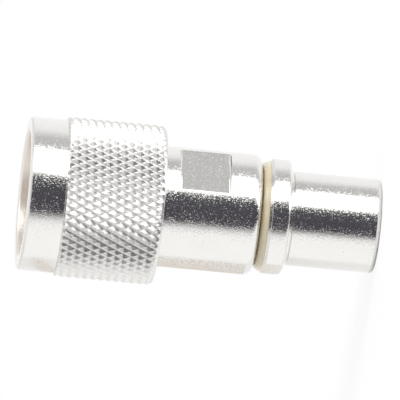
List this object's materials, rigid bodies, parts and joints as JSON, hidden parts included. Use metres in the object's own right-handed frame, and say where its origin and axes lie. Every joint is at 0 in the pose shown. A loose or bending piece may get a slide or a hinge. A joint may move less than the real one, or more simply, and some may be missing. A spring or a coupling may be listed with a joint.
{
  "type": "n type connector",
  "caption": "Straight coaxial cable plug with a knurled coupling nut, round body with wrench flats, flanged back nut and a smooth cable tail.",
  "frame": {"origin": "centre of the cable bore on the rear end face of the back nut's tail", "axes": "+Z along the connector's axis towards the mating end, Y square to the body's wrench flats"},
  "size_m": [0.0212, 0.0212, 0.0471],
  "materials": {
    "nickel_plate": "brass with a bright nickel plate, fine handling scratches",
    "contact_plate": "brass with a white bronze plate",
    "gold_plate": "brass with a gold plate",
    "spring_bronze": "plain phosphor bronze",
    "insulator": "machined PTFE, waxy",
    "front_seal": "moulded silicone rubber",
    "cable_seal": "moulded neoprene",
    "seal_ring": "translucent amber nylon"
  },
  "bodies": {
    "body": {"body_shell": "nickel_plate", "outer_contact": "contact_plate", "contact_pin": "gold_plate", "front_insulator": "insulator", "rear_insulator": "insulator", "front_gasket": "front_seal", "retaining_ring": "spring_bronze"},
    "coupling_nut": {"coupling_nut": "nickel_plate"},
    "clamp_stack": {"braid_clamp": "contact_plate", "cable_gasket": "cable_seal", "slip_washer": "contact_plate"},
    "back_nut": {"back_nut": "nickel_plate", "seal_ring": "seal_ring"}
  },
  "joints": [
    {"name": "coupling_nut_spin", "type": "hinge", "parent": "body", "child": "coupling_nut", "pos_m": [0, 0, 0.038], "axis": [0, 0, 1], "continuous": true},
    {"name": "back_nut_travel", "type": "slide", "parent": "body", "child": "clamp_stack", "axis": [0, 0, -1], "range_m": [0, 0.0045]},
    {"name": "back_nut_turn", "type": "hinge", "parent": "clamp_stack", "child": "back_nut", "pos_m": [0, 0, 0.01], "axis": [0, 0, -1], "range_deg": [0, 1620]}
  ],
  "couplings": [
    {"joint": "back_nut_travel", "follows": "back_nut_turn", "m_per_rad": 0.00015915}
  ]
}
